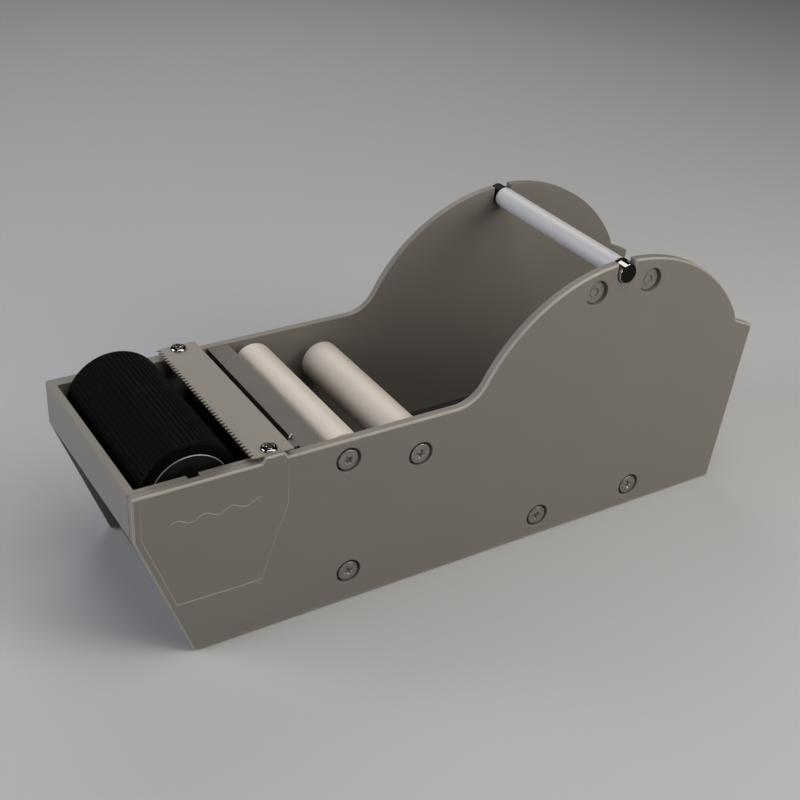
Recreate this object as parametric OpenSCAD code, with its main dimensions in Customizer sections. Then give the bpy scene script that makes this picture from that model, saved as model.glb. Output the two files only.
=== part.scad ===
// Packing tape dispenser for gummed paper tape that is wetted by a roller.
// X runs from the front face to the rear, Y across the width, Z up.

/* [Body] */
// Overall width over the two side panels
body_w = 120; // [100:1:150]
// Thickness of each side panel
panel_t = 5; // [4.6:0.1:7]
// Distance from the front face to the rear bottom corner
base_l = 376.5; // [374:0.5:386]
// Height of the straight rim above the bottom edge of the panels
rim_h = 102; // [101.5:0.5:108]
// Height of the corner where the front face turns into the slanted underside
lip_h = 77; // [66:1:84]
// Setback of the bottom edge from the front face
toe_back = 28; // [18:1:30]
// Lean of the rear edge, from the bottom corner to the heel
rear_lean = 11; // [4:1:16]
// Height of the heel, the top of the leaning rear edge
heel_h = 103.5; // [101:0.5:106]

/* [Arch] */
// Distance from the rear bottom corner forward to the centre of the arch
arch_setback = 92.2; // [88:0.1:98]
// Height of the centre of the arch
arch_z = 65.3; // [60:0.1:70]
// Radius of the arch
arch_r = 100.4; // [97:0.1:104]
// Radius of the hollow curve between the rim and the arch
cove_r = 20; // [12:1:30]
// Angle above the horizontal at which the arch ends at the rear
arch_end_angle = 30; // [27:1:34]
// Drop of the small step behind the arch
step_drop = 5.7; // [4:0.1:8]
// Run of the small step behind the arch
step_run = 2.3; // [1:0.1:4]

/* [Tank] */
// Thickness of the front wall and the slanted apron
front_wall_t = 4; // [3:0.1:5]
// Thickness of the side walls, rear wall and floor of the tank
tank_t = 2.6; // [2:0.1:3]
// Height of the inside of the tank floor
tank_floor_z = 32.5; // [28:0.5:40]
// Run of the slanted foot of the rear wall
tank_foot_run = 14; // [8:0.5:20]
// Gap between the rear wall and the front of the tape slot
tank_rear_gap = 1; // [0.2:0.1:2]
// Height at which the rear wall turns upright
tank_knee_z = 74; // [66:1:82]
// Drop of the rear wall below the rim, for the path of the tape
tank_rear_drop = 10; // [9.5:0.5:16]
// Gap between the lower edge of the apron and the bottom edge of the panels
apron_gap = 2; // [1:0.5:5]

/* [Cutter] */
// Height of the ears that carry the blade, above the rim
ear_h = 3; // [2:0.1:4]
// Length of the ears along the rim
ear_l = 14.5; // [13:0.5:15]
// Run of the sloping front of the ears
ear_rise = 2; // [1.5:0.1:4]
// Run of the sloping rear of the ears
ear_fall = 2; // [0.5:0.1:2.2]
// Thickness of the bar under the blade
bar_t = 8; // [7:0.5:9]
// Depth of the pocket in each panel that holds the end of the bar
pocket_depth = 2.5; // [1.5:0.1:2.6]
// Gap between the water roller and the tips of the blade's teeth
blade_gap = 1.6; // [0.6:0.1:2]
// Overhang of the teeth in front of the ears
blade_overhang = 4.9; // [4:0.1:7]
// Width of the blade, from the tips of the teeth to its rear edge
blade_w = 22.5; // [20:0.5:22.5]
// Thickness of the blade
blade_t = 0.8; // [0.6:0.1:1.2]
// Inset of the ends of the blade from the outer faces of the panels
blade_inset = 1; // [0.3:0.1:1.5]
// Number of teeth
teeth = 41; // [30:1:48]
// Depth of the teeth
tooth_depth = 2.2; // [1.5:0.1:3]
// Distance from the ends of the blade to its screws
blade_screw_inset = 4.5; // [4.4:0.1:4.9]

/* [Tape guide] */
// Width of the slot that the tape passes through
slot_gap = 5.8; // [4.6:0.1:6]
// Length of the guide plate behind the slot
guide_l = 12.3; // [10:0.1:12.4]
// Thickness of the guide plate
guide_t = 3; // [2.6:0.1:3.4]
// Drop of the top of the guide plate below the rim
guide_drop = 0.4; // [0.2:0.1:0.8]
// Depth of the front flange of the guide plate
flange_h = 13; // [8:0.5:14]
// Thickness of the front flange
flange_t = 2.5; // [2:0.1:3]
// Diameter of the guard wire
wire_d = 1.6; // [1.2:0.1:1.8]
// Radius of the bend of the guard wire
wire_bend_r = 2.4; // [2:0.1:2.6]
// Length of the leg of the guard wire
wire_leg = 3.5; // [2:0.1:5]

/* [Water roller] */
// Gap between the front wall and the roller
roller_front_gap = 2.5; // [2:0.1:4]
// Gap between the side walls of the tank and the roller's end caps
roller_side_gap = 2; // [1:0.1:8]
// Depth of the roller's axis below the rim
roller_drop = 12; // [11:0.1:14]
// Outer diameter of the ribbed rubber
rubber_d = 53; // [48:0.5:56]
// Number of ribs
ribs = 60; // [48:1:72]
// Depth of the grooves between the ribs
rib_depth = 0.8; // [0.5:0.1:1.2]
// Chamfer at the ends of the rubber
rubber_chamfer = 1.5; // [0.5:0.1:2]
// Outer diameter of the core tube
core_d = 40; // [36:0.5:42]
// Wall of the core tube
core_wall = 2; // [1.6:0.1:3]
// Diameter of the end caps
cap_d = 41.5; // [41:0.5:45]
// Thickness of the end caps
cap_t = 1; // [0.8:0.1:2]
// Chamfer around the end caps
cap_chamfer = 0.6; // [0.3:0.1:0.8]
// Length of the spigot of the end caps
cap_spigot = 9; // [6:0.5:14]
// Diameter of the roller's axle
roller_axle_d = 6; // [5:0.5:7]

/* [Guide rollers] */
// Gap between the guide plate and the front guide roller
guide_roller_gap = 0.55; // [0.4:0.05:4]
// Distance between the axes of the guide rollers, along the body
guide_roller_pitch = 43.3; // [36:0.1:48]
// Depth of the front guide roller's axis below the rim
front_guide_drop = 12.2; // [12:0.1:14]
// Depth of the rear guide roller's axis below the rim
rear_guide_drop = 21.5; // [16:0.1:26]
// Outer diameter of the guide rollers
guide_roller_d = 23.5; // [21:0.1:25]
// Wall of the guide rollers
guide_roller_wall = 2; // [1.6:0.1:2.4]
// Length of the bushes inside the guide rollers
bush_l = 12; // [8:0.5:20]
// Thickness of the flange of the bushes
bush_flange_t = 0.8; // [0.6:0.1:1.2]
// Diameter of the guide rollers' axles
guide_axle_d = 10; // [9:0.5:12]
// Outer diameter of the spacers between the guide rollers and the panels
spacer_d = 14; // [13:0.5:16]
// Length of the spacers at the far ends of the guide rollers
spacer_l = 3.9; // [1:0.1:12]
// Thickness of the washers at their near ends
washer_t = 0.6; // [0.4:0.1:3.9]

/* [Spindle] */
// Distance from the centre of the arch forward to the spindle's axis
spindle_setback = 3.5; // [0:0.1:8]
// Depth of the spindle's axis below the top of the arch
spindle_drop = 6.4; // [6.2:0.1:13]
// Diameter of the spindle rod
spindle_d = 8; // [7:0.1:8.4]
// Diameter of the end caps where they lie in the slots
journal_d = 11.1; // [10:0.1:11.6]
// Length of each end cap outside the panels
spindle_proud = 1.5; // [1:0.1:5]
// Chamfer at the outer ends of the end caps
spindle_chamfer = 0.8; // [0.4:0.1:1.2]
// Diameter of the collars of the end caps, between the sleeve and the panels
collar_d = 14.4; // [12.4:0.1:16]
// Thickness of the collars
collar_t = 1; // [0.6:0.1:1.6]
// Wall of the sleeve on the rod
sleeve_wall = 1.9; // [0.8:0.1:2.2]
// Distance from the spindle to the blanking plugs beside it
plug_offset = 18.6; // [16:0.1:24]
// Depth of the blanking plugs below the spindle's axis
plug_drop = 8.3; // [7.4:0.1:19]
// Diameter of the seats of the blanking plugs
plug_seat_d = 13.2; // [11:0.1:14]
// Depth of the seats of the blanking plugs
plug_seat_depth = 1.5; // [1:0.1:2]
// Diameter of the heads of the blanking plugs
plug_head_d = 6.4; // [6:0.1:8]
// Diameter of the shanks of the blanking plugs
plug_shank_d = 4.6; // [4:0.1:5]

/* [Side screws] */
// Diameter of the round seats of the side screws
seat_d = 12; // [11.6:0.1:13]
// Depth of the round seats
seat_depth = 2.5; // [2.2:0.1:3]
// Diameter of the screw heads
side_head_d = 10.2; // [9.5:0.1:11.4]
// Height of the screw heads
side_head_h = 2.3; // [1.8:0.1:2.4]
// Diameter of the screw shanks
side_shank_d = 5; // [4.5:0.5:6.5]
// Length of the screws inside the axles, the bar and the block
side_bite = 12; // [8:0.5:16]

/* [Base] */
// Thickness of the base plate
base_t = 3; // [2:0.1:4]
// Distance from the front face to the cross bar's screws
cross_x = 116.6; // [110:0.1:124]
// Height of the cross bar's screws
cross_z = 18.3; // [16:0.1:22]
// Thickness of the cross bar
cross_t = 12; // [10:0.5:16]
// Distance from the rear bottom corner forward to the middle of the ballast block
ballast_setback = 101.2; // [86:0.1:116]
// Length of the ballast block
ballast_l = 106; // [90:1:130]
// Height of the ballast block
ballast_h = 20; // [18:0.5:30]
// Distance between the ballast block's screws
ballast_pitch = 68; // [56:1:76]
// Thickness of the rear wall
rear_wall_t = 3; // [2:0.1:5]
// Drop of the top of the rear wall below the heel
rear_wall_drop = 5.5; // [3:0.5:25]
// Diameter of the rubber feet
foot_d = 14; // [10:0.5:18]
// Height of the rubber feet
foot_t = 1; // [0.8:0.1:3]
// Distance from the feet's centres to the edges of the base plate
foot_inset = 13; // [10:0.5:20]
// Distance from the base screws to the side panels
base_screw_inset = 25; // [20:0.5:40]

/* [Hidden] */
// Running clearance of the rollers and the sleeve, all round
run_fit = 0.05;
// Clearance of pressed, tapped and inserted pieces, all round
seat_fit = 0.05;
// Clearance of the axle and the rod in their open slots, all round
slot_fit = 0.1;
// Clearance at the ends of pieces that turn or lift
end_gap = 0.3;
// Length by which every cut passes the face it starts from
overrun = 1;

// Bores and shafts
$fn = 96;
// Width of a rib's crest and of the groove's floor, of the ribs' pitch
crest_share = 0.5;
groove_share = 0.3;
// Width of a tooth's tip and of the flat between two teeth, of the teeth's pitch
tip_share = 0.22;
valley_share = 0.2;

// Small sizes of the fasteners and caps
blade_shank_d = 4;
blade_head_d = 8;
blade_head_h = 2.4;
blade_bite = 6.4;
side_hole_gap = 0.2;
screw_end_gap = 1.5;
base_shank_d = 5;
base_head_d = 9;
base_head_h = (base_head_d - base_shank_d) / 2;
base_bite = 10;
spindle_end_t = 2.5;
plug_head_h = 0.8;
plug_dimple_d = 4;
plug_dimple_depth = 0.4;
plug_edge = 0.3;
head_edge = 0.4;

// Small sizes of the tape guide
tongue_w = 6.4;
tongue_gap = 2.4;
tab_t = 1.8;
tab_depth = 1.5;
wire_front_gap = 2.2;
wire_rise = 45;
wire_lean_gap = 0.2;
wire_seat = 1.2;

// Places across the width
half_w = body_w / 2;
inner_half = half_w - panel_t;
tank_half = inner_half - tank_t;
rubber_l = 2 * (tank_half - roller_side_gap - cap_t);
guide_roller_l = 2 * (inner_half - end_gap - bush_flange_t) - spacer_l - washer_t;
guide_mid = (washer_t - spacer_l) / 2;
base_screw_y = inner_half - base_screw_inset;

// Places along the body, from the front face to the rear
roller_x = front_wall_t + roller_front_gap + rubber_d / 2;
blade_x = roller_x + rubber_d / 2 + blade_gap;
blade_rear = blade_x + blade_w;
ear_x = blade_x + blade_overhang;
ear_end = ear_x + ear_l;
bar_l = ear_l - ear_fall;
tank_rear_x = blade_rear - tank_rear_gap - tank_t;
tank_foot_x = tank_rear_x - tank_foot_run;
guide_x = blade_rear + slot_gap;
front_guide_x = guide_x + guide_l + guide_roller_gap + guide_roller_d / 2;
rear_guide_x = front_guide_x + guide_roller_pitch;
ballast_x = base_l - ballast_setback;
arch_x = base_l - arch_setback;
spindle_x = arch_x - spindle_setback;
heel_x = base_l + rear_lean;
frame_x = heel_x / 2;

// Heights above the bottom edge of the panels
ear_top = rim_h + ear_h;
bar_z = ear_top - bar_t;
roller_z = rim_h - roller_drop;
tank_rear_h = rim_h - tank_rear_drop;
guide_top = rim_h - guide_drop;
guide_z = guide_top - guide_t;
front_guide_z = rim_h - front_guide_drop;
rear_guide_z = rim_h - rear_guide_drop;
spindle_z = arch_z + arch_r - spindle_drop;
plug_z = spindle_z - plug_drop;
rear_wall_h = heel_h - rear_wall_drop;

// Places along the spindle, from the middle to its end
collar_end = inner_half - end_gap;
sleeve_half = collar_end - collar_t - end_gap;
cap_end = half_w + spindle_proud;
rod_half = cap_end - spindle_end_t;

// Places of the cutter's small pieces
bar_half = inner_half + pocket_depth - seat_fit;
blade_half = half_w - blade_inset;
blade_screw_x = ear_x + bar_l / 2;
blade_screw_y = blade_half - blade_screw_inset;
wire_x = blade_rear + wire_front_gap;
wire_z = guide_top - (guide_x - wire_x) * tan(wire_rise) + (wire_d / 2 + wire_lean_gap) / cos(wire_rise);
tongue_y = -inner_half + tongue_gap;
wire_end_y = tongue_y + tongue_w;

// The hollow curve touches the rim and the arch
cove_z = rim_h + cove_r;
cove_reach = arch_r + cove_r;
cove_x = arch_x - sqrt(pow(cove_reach, 2) - pow(cove_z - arch_z, 2));
cove_part = cove_r / cove_reach;
cove_meet = [cove_x + (arch_x - cove_x) * cove_part, cove_z + (arch_z - cove_z) * cove_part];
arch_end = [arch_x + arch_r * cos(arch_end_angle), arch_z + arch_r * sin(arch_end_angle)];
step_z = arch_end.y - step_drop;

// The apron runs parallel to the slanted front edge of the panels
apron_angle = atan(toe_back / lip_h);
apron_shift = front_wall_t / cos(apron_angle);
rear_angle = atan((tank_rear_x - tank_foot_x) / (tank_knee_z - tank_floor_z));
rear_shift = tank_t / cos(rear_angle);
base_x = toe_back + apron_shift + end_gap;

side_screw_places = [
    [front_guide_x, front_guide_z],
    [rear_guide_x, rear_guide_z],
    [cross_x, cross_z],
    [ballast_x - ballast_pitch / 2, base_t + ballast_h / 2],
    [ballast_x + ballast_pitch / 2, base_t + ballast_h / 2]
];
plug_places = [[spindle_x - plug_offset, plug_z], [spindle_x + plug_offset, plug_z]];
base_screw_places = [for (x = [cross_x, ballast_x]) for (s = [-1, 1]) [x, s * base_screw_y]];
foot_places = [for (x = [base_x + foot_inset, base_l - foot_inset]) for (s = [-1, 1])
    [x, s * (inner_half - foot_inset)]];

// Front edge of the slanted underside at height z
function slant_x(z) = toe_back * (1 - z / lip_h);
// Leaning rear edge at height z
function rear_x(z) = base_l + rear_lean * z / heel_h;

// Puts the whole part on its feet, over the middle of its length
module stand() {
    translate([-frame_x, 0, foot_t]) children();
}

// Extrudes a side profile across the width, from one y to another
module across(y0, y1) {
    translate([0, y1, 0]) rotate([90, 0, 0]) linear_extrude(y1 - y0) children();
}

// Round bar across the width at a place given as x and z
module cross_rod(place, d, y0, y1) {
    translate([place[0], y1, place[1]]) rotate([90, 0, 0]) cylinder(d = d, h = y1 - y0);
}

// Box given by its low and high corners
module block(low, high) {
    translate(low) cube(high - low);
}

// Copies a piece of the positive side to both sides
module both_sides() {
    children();
    mirror([0, 1, 0]) children();
}

// Blank of a panel: slanted toe, straight rim with ear, cove, arch, step and heel
module panel_blank() {
    difference() {
        union() {
            across(inner_half, half_w) polygon([
                [toe_back, 0], [0, lip_h], [0, rim_h],
                [ear_x, rim_h], [ear_x + ear_rise, ear_top], [ear_end - ear_fall, ear_top], [ear_end, rim_h],
                [cove_x, rim_h], cove_meet, arch_end,
                [arch_end.x + step_run, step_z], [heel_x, heel_h], [base_l, 0]
            ]);
            intersection() {
                cross_rod([arch_x, arch_z], 2 * arch_r, inner_half, half_w);
                block([cove_meet.x, inner_half - overrun, arch_z],
                      [arch_end.x, half_w + overrun, arch_z + arch_r + overrun]);
            }
        }
        cross_rod([cove_x, cove_z], 2 * cove_r, inner_half - overrun, half_w + overrun);
        across(inner_half - overrun, half_w + overrun)
            open_slot(spindle_x, spindle_z, journal_d / 2 + slot_fit, arch_z + arch_r + overrun);
    }
}

// Open-topped slot with a round bottom, in a side profile
module open_slot(x, z, r, top) {
    translate([x, z]) circle(r = r);
    translate([x - r, z]) square([2 * r, top - z]);
}

// Side panel on the positive side, with its screw seats, pocket and groove
module side_panel() {
    difference() {
        panel_blank();
        for (p = side_screw_places) {
            cross_rod(p, seat_d, half_w - seat_depth, half_w + overrun);
            cross_rod(p, side_shank_d + 2 * side_hole_gap, inner_half - overrun, half_w);
        }
        for (p = plug_places) {
            cross_rod(p, plug_seat_d, half_w - plug_seat_depth, half_w + overrun);
            cross_rod(p, plug_shank_d + 2 * seat_fit, inner_half - overrun, half_w);
        }
        block([ear_x - seat_fit, inner_half - overrun, bar_z],
              [ear_x + bar_l + seat_fit, inner_half + pocket_depth, ear_top + overrun]);
        block([guide_x, inner_half - overrun, guide_z],
              [guide_x + guide_l, inner_half + tab_depth + seat_fit, guide_z + tab_t + seat_fit]);
    }
}

module right_side_panel() {
    color("#6b6760") stand() mirror([0, 1, 0]) side_panel();
}

module left_side_panel() {
    color("#6b6760") stand() difference() {
        side_panel();
        cross_rod([wire_x, wire_z], wire_d + 2 * seat_fit, inner_half - overrun, inner_half + wire_seat);
    }
}

// Outer profile of the tank with its apron
module tank_outside() {
    polygon([
        [slant_x(apron_gap), apron_gap], [0, lip_h], [0, rim_h], [ear_x - seat_fit, rim_h],
        [ear_x - seat_fit, bar_z], [tank_rear_x + tank_t, bar_z],
        [tank_rear_x + tank_t, tank_knee_z],
        [tank_foot_x + rear_shift, tank_floor_z], [tank_foot_x, tank_floor_z - tank_t],
        [slant_x(tank_floor_z - tank_t) + apron_shift, tank_floor_z - tank_t],
        [slant_x(apron_gap) + apron_shift, apron_gap]
    ]);
}

// Inner profile of the tank
module tank_inside() {
    polygon([
        [slant_x(tank_floor_z) + apron_shift, tank_floor_z],
        [front_wall_t, lip_h * (1 + (apron_shift - front_wall_t) / toe_back)],
        [front_wall_t, rim_h + overrun], [tank_rear_x, rim_h + overrun],
        [tank_rear_x, tank_knee_z], [tank_foot_x, tank_floor_z]
    ]);
}

module water_tank() {
    color("#716d66") stand() difference() {
        across(-inner_half, inner_half) tank_outside();
        across(-tank_half, tank_half) tank_inside();
        across(-inner_half - overrun, inner_half + overrun)
            open_slot(roller_x, roller_z, roller_axle_d / 2 + slot_fit, rim_h + overrun);
        block([tank_rear_x - overrun, -tank_half, tank_rear_h],
              [tank_rear_x + tank_t + overrun, tank_half, bar_z + overrun]);
    }
}

// Bar that carries the blade, its front sloped like the ears
module blade_bar() {
    color("#6b6760") stand() difference() {
        across(-bar_half, bar_half) polygon([
            [ear_x, bar_z], [ear_x, rim_h], [ear_x + ear_rise, ear_top],
            [ear_x + bar_l, ear_top], [ear_x + bar_l, bar_z]
        ]);
        for (s = [-1, 1])
            translate([blade_screw_x, s * blade_screw_y, ear_top - blade_bite - seat_fit])
                cylinder(d = blade_shank_d + 2 * seat_fit, h = blade_bite + overrun);
    }
}

// Plan of the blade, its front edge cut into teeth
module blade_plan() {
    pitch = 2 * blade_half / teeth;
    polygon([
        [blade_rear, blade_half], [blade_rear, -blade_half],
        for (i = [0 : teeth - 1]) let (y = -blade_half + (i + 0.5) * pitch) each [
            [blade_x + tooth_depth, y - (1 - valley_share) * pitch / 2],
            [blade_x, y - tip_share * pitch / 2],
            [blade_x, y + tip_share * pitch / 2],
            [blade_x + tooth_depth, y + (1 - valley_share) * pitch / 2]
        ]
    ]);
}

module tear_blade() {
    color("#b5b2ac") stand() translate([0, 0, ear_top]) difference() {
        linear_extrude(blade_t) blade_plan();
        for (s = [-1, 1]) translate([blade_screw_x, s * blade_screw_y, -overrun])
            cylinder(d = blade_shank_d + 2 * side_hole_gap, h = blade_t + 2 * overrun);
    }
}

// Domed head: the cap of a ball that is as wide as the head
module domed_head(d, h) {
    ball_r = (pow(d / 2, 2) + pow(h, 2)) / (2 * h);
    intersection() {
        cylinder(d = d, h = h);
        translate([0, 0, h - ball_r]) sphere(r = ball_r);
    }
}

module blade_screws() {
    color("#c9c9c9") stand() both_sides() translate([blade_screw_x, blade_screw_y, ear_top + blade_t]) {
        domed_head(blade_head_d, blade_head_h);
        translate([0, 0, -blade_t - blade_bite]) cylinder(d = blade_shank_d, h = blade_t + blade_bite);
    }
}

// Bridge behind the slot: a plate with a front flange, end tabs and a tongue round the slot's near end
module guide_plate() {
    color("#64615b") stand() {
        across(-inner_half, inner_half) {
            translate([guide_x, guide_z]) square([guide_l, guide_t]);
            translate([guide_x, guide_top - flange_h]) square([flange_t, flange_h]);
        }
        both_sides() block([guide_x + seat_fit, inner_half - overrun, guide_z],
                           [guide_x + guide_l - seat_fit, inner_half + tab_depth, guide_z + tab_t]);
        block([blade_rear + seat_fit, tongue_y, guide_z], [guide_x + overrun, tongue_y + tongue_w, guide_top]);
    }
}

// Wire along the slot, its near end bent up to lean on the edge of the guide plate
module guard_wire() {
    leg_y = wire_end_y + end_gap + wire_d / 2;
    far_y = inner_half + wire_seat - seat_fit;
    color("#b0aea8") stand() translate([wire_x, leg_y, wire_z]) rotate([0, -wire_rise, 0]) {
        translate([wire_bend_r, wire_bend_r, 0]) rotate([0, 0, 180])
            rotate_extrude(angle = 90) translate([wire_bend_r, 0]) circle(d = wire_d, $fn = 24);
        translate([0, wire_bend_r, 0]) rotate([-90, 0, 0])
            cylinder(d = wire_d, h = far_y - leg_y - wire_bend_r, $fn = 24);
        translate([wire_bend_r, 0, 0]) rotate([0, 90, 0]) cylinder(d = wire_d, h = wire_leg, $fn = 24);
    }
}

module roller_axle() {
    color("#b8b8b6") stand()
        cross_rod([roller_x, roller_z], roller_axle_d, -inner_half + end_gap, inner_half - end_gap);
}

// Outline of the ribbed rubber, its crests on the full diameter
module ribbed_circle() {
    r = rubber_d / 2;
    step = 360 / ribs;
    polygon([for (i = [0 : ribs - 1]) each [
        for (c = [[r, -crest_share / 2], [r, crest_share / 2],
                  [r - rib_depth, (1 - groove_share) / 2], [r - rib_depth, (1 + groove_share) / 2]])
            let (a = (i + c[1]) * step) [c[0] * cos(a), c[0] * sin(a)]
    ]]);
}

// Round bar about Z that narrows at both ends
module chamfered_roll(d, l, chamfer) {
    rotate_extrude() polygon([
        [0, -l / 2], [d / 2 - chamfer, -l / 2], [d / 2, chamfer - l / 2],
        [d / 2, l / 2 - chamfer], [d / 2 - chamfer, l / 2], [0, l / 2]
    ]);
}

// Turns a piece that is modelled round Z onto an axis across the width
module on_axis(x, z, y = 0) {
    translate([x, y, z]) rotate([90, 0, 0]) children();
}

module roller_rubber() {
    color("#141414") stand() on_axis(roller_x, roller_z) difference() {
        intersection() {
            translate([0, 0, -rubber_l / 2]) linear_extrude(rubber_l) ribbed_circle();
            chamfered_roll(rubber_d + rib_depth, rubber_l, rubber_chamfer);
        }
        cylinder(d = core_d + 2 * seat_fit, h = rubber_l + 2 * overrun, center = true);
    }
}

module roller_core() {
    color("#1b1b1b") stand() on_axis(roller_x, roller_z) difference() {
        cylinder(d = core_d, h = rubber_l, center = true);
        cylinder(d = core_d - 2 * core_wall, h = rubber_l + 2 * overrun, center = true);
    }
}

// End cap on the positive side: a chamfered disc with a spigot inside the core
module end_cap() {
    face = rubber_l / 2;
    bore_r = roller_axle_d / 2 + run_fit;
    spigot_r = core_d / 2 - core_wall - seat_fit;
    rotate_extrude() polygon([
        [bore_r, face - cap_spigot], [spigot_r, face - cap_spigot], [spigot_r, face], [cap_d / 2, face],
        [cap_d / 2, face + cap_t - cap_chamfer], [cap_d / 2 - cap_chamfer, face + cap_t], [bore_r, face + cap_t]
    ]);
}

module roller_end_caps() {
    color("#202020") stand() on_axis(roller_x, roller_z) {
        end_cap();
        mirror([0, 0, 1]) end_cap();
    }
}

// White tube of a guide roller
module guide_tube(x, z) {
    color("#d2ccc4") stand() on_axis(x, z, guide_mid) difference() {
        cylinder(d = guide_roller_d, h = guide_roller_l, center = true);
        cylinder(d = guide_roller_d - 2 * guide_roller_wall, h = guide_roller_l + 2 * overrun, center = true);
    }
}

// Pair of flanged bushes in the ends of a guide roller
module guide_bushes(x, z) {
    face = guide_roller_l / 2;
    bore_r = guide_axle_d / 2 + run_fit;
    plug_r = guide_roller_d / 2 - guide_roller_wall - seat_fit;
    flange_r = (guide_roller_d - guide_roller_wall) / 2;
    color("#c4beb6") stand() on_axis(x, z, guide_mid) for (s = [0, 1]) mirror([0, 0, s]) rotate_extrude() polygon([
        [bore_r, face - bush_l], [plug_r, face - bush_l], [plug_r, face],
        [flange_r, face], [flange_r, face + bush_flange_t], [bore_r, face + bush_flange_t]
    ]);
}

// Steel axle between the panels, tapped at both ends
module guide_axle(place) {
    color("#9c9c9a") stand() difference() {
        cross_rod(place, guide_axle_d, -inner_half, inner_half);
        both_sides() tapped_hole(place);
    }
}

// Hole that a side screw bites into
module tapped_hole(place) {
    cross_rod(place, side_shank_d + 2 * seat_fit, inner_half - side_bite - screw_end_gap, inner_half + overrun);
}

module front_guide_roller() { guide_tube(front_guide_x, front_guide_z); }

module front_roller_bushes() { guide_bushes(front_guide_x, front_guide_z); }

module front_guide_axle() { guide_axle([front_guide_x, front_guide_z]); }

module rear_guide_roller() { guide_tube(rear_guide_x, rear_guide_z); }

module rear_roller_bushes() { guide_bushes(rear_guide_x, rear_guide_z); }

module rear_guide_axle() { guide_axle([rear_guide_x, rear_guide_z]); }

// Ring on the axle of each guide roller, between two places across the width
module axle_rings(y0, y1) {
    for (p = [side_screw_places[0], side_screw_places[1]]) difference() {
        cross_rod(p, spacer_d, y0, y1);
        cross_rod(p, guide_axle_d + 2 * seat_fit, y0 - overrun, y1 + overrun);
    }
}

module axle_spacers() {
    color("#d8d4cc") stand() axle_rings(inner_half - spacer_l, inner_half);
}

module axle_washers() {
    color("#b8b8b6") stand() axle_rings(-inner_half, washer_t - inner_half);
}

module spindle_rod() {
    color("#8e8e8c") stand() on_axis(spindle_x, spindle_z) chamfered_roll(spindle_d, 2 * rod_half, head_edge);
}

// Caps on the ends of the rod: a collar inside each panel and a journal in its slot
module spindle_end_caps() {
    bore_r = spindle_d / 2 + seat_fit;
    color("#1a1a1a") stand() on_axis(spindle_x, spindle_z) for (s = [0, 1]) mirror([0, 0, s]) rotate_extrude() polygon([
        [0, rod_half + end_gap], [bore_r, rod_half + end_gap], [bore_r, collar_end - collar_t],
        [collar_d / 2, collar_end - collar_t], [collar_d / 2, collar_end], [journal_d / 2, collar_end],
        [journal_d / 2, cap_end - spindle_chamfer], [journal_d / 2 - spindle_chamfer, cap_end], [0, cap_end]
    ]);
}

module spindle_sleeve() {
    bore = spindle_d + 2 * run_fit;
    color("#dfe0e2") stand() on_axis(spindle_x, spindle_z) difference() {
        cylinder(d = bore + 2 * sleeve_wall, h = 2 * sleeve_half, center = true);
        cylinder(d = bore, h = 2 * (sleeve_half + overrun), center = true);
    }
}

// Flat-headed screws, each through a panel into an axle, the cross bar or the ballast block
module side_screws() {
    seat_y = half_w - seat_depth;
    top_y = seat_y + side_head_h;
    color("#8a8780") stand() both_sides() for (p = side_screw_places) on_side(p) rotate_extrude() polygon([
        [0, inner_half - side_bite], [side_shank_d / 2, inner_half - side_bite], [side_shank_d / 2, seat_y],
        [side_head_d / 2, seat_y], [side_head_d / 2, top_y - head_edge],
        [side_head_d / 2 - head_edge, top_y], [0, top_y]
    ]);
}

// Turns a piece that is modelled round Z so that it points out of the positive side
module on_side(place) {
    translate([place[0], 0, place[1]]) rotate([-90, 0, 0]) children();
}

// Plugs in the body's colour that close the spare holes beside the spindle
module blanking_plugs() {
    seat_y = half_w - plug_seat_depth;
    top_y = seat_y + plug_head_h;
    color("#6b6760") stand() both_sides() for (p = plug_places) on_side(p) rotate_extrude() polygon([
        [0, inner_half], [plug_shank_d / 2, inner_half], [plug_shank_d / 2, seat_y],
        [plug_head_d / 2, seat_y], [plug_head_d / 2, top_y - plug_edge], [plug_head_d / 2 - plug_edge, top_y],
        [plug_dimple_d / 2, top_y], [plug_dimple_d / 2, top_y - plug_dimple_depth], [0, top_y - plug_dimple_depth]
    ]);
}

// Profile of a countersunk screw from below, its head flush with the base plate
module base_screw_profile(gap, below, above) {
    polygon([
        [0, -below], [base_head_d / 2 + gap, -below], [base_head_d / 2 + gap, 0],
        [base_shank_d / 2 + gap, base_head_h], [base_shank_d / 2 + gap, base_t + base_bite + above],
        [0, base_t + base_bite + above]
    ]);
}

// Countersunk holes that the base screws fit in
module base_screw_holes() {
    for (p = base_screw_places)
        translate([p[0], p[1], 0]) rotate_extrude() base_screw_profile(seat_fit, overrun, screw_end_gap);
}

module cross_bar() {
    place = side_screw_places[2];
    color("#57544f") stand() difference() {
        block([cross_x - cross_t / 2, -inner_half, base_t],
              [cross_x + cross_t / 2, inner_half, 2 * cross_z - base_t]);
        both_sides() tapped_hole(place);
        base_screw_holes();
    }
}

module ballast_block() {
    color("#3a3a3c") stand() difference() {
        block([ballast_x - ballast_l / 2, -inner_half, base_t],
              [ballast_x + ballast_l / 2, inner_half, base_t + ballast_h]);
        both_sides() for (i = [3, 4]) tapped_hole(side_screw_places[i]);
        base_screw_holes();
    }
}

module base_plate() {
    color("#57544f") stand() difference() {
        block([base_x, -inner_half, 0], [base_l, inner_half, base_t]);
        base_screw_holes();
    }
}

module base_screws() {
    color("#8a8780") stand() for (p = base_screw_places)
        translate([p[0], p[1], 0]) rotate_extrude() base_screw_profile(0, 0, 0);
}

// Rear wall, parallel to the leaning rear edge of the panels
module rear_wall() {
    color("#6b6760") stand() across(-inner_half, inner_half) polygon([
        [rear_x(base_t) - rear_wall_t, base_t], [rear_x(base_t), base_t],
        [rear_x(rear_wall_h), rear_wall_h], [rear_x(rear_wall_h) - rear_wall_t, rear_wall_h]
    ]);
}

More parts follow.
